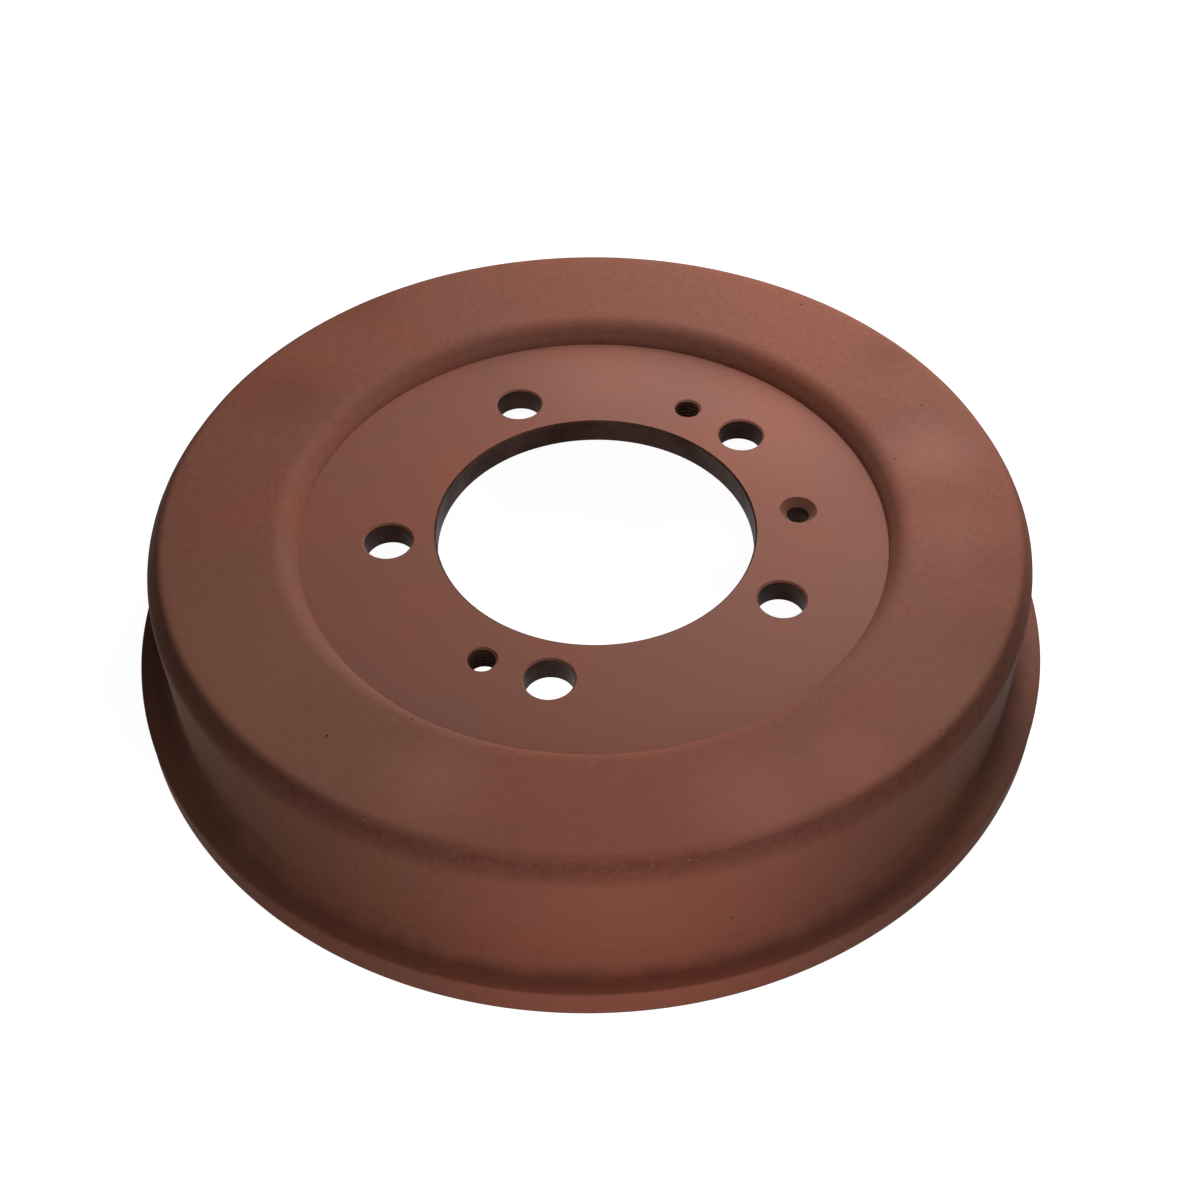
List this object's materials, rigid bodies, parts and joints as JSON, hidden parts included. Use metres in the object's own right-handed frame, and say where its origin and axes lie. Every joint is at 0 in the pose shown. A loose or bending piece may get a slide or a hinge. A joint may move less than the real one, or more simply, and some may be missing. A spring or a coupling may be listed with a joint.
{
  "type": "brake drum",
  "caption": "Cast-iron brake drum with a recessed wheel face, raised crown, flanged open rim, centring bore and drilled web, in red-oxide primer.",
  "frame": {"origin": "on the drum's axis, in the plane of the open rim that it stands on", "axes": "+Z along the axis out of the wheel face, towards the wheel; +X through the countersunk retaining-screw hole, midway between two stud holes"},
  "size_m": [0.3144, 0.3144, 0.058],
  "materials": {
    "primed_iron": "matte red-oxide primer over cast and turned iron"
  },
  "bodies": {
    "root": {"brake_drum": "primed_iron"}
  },
  "joints": []
}
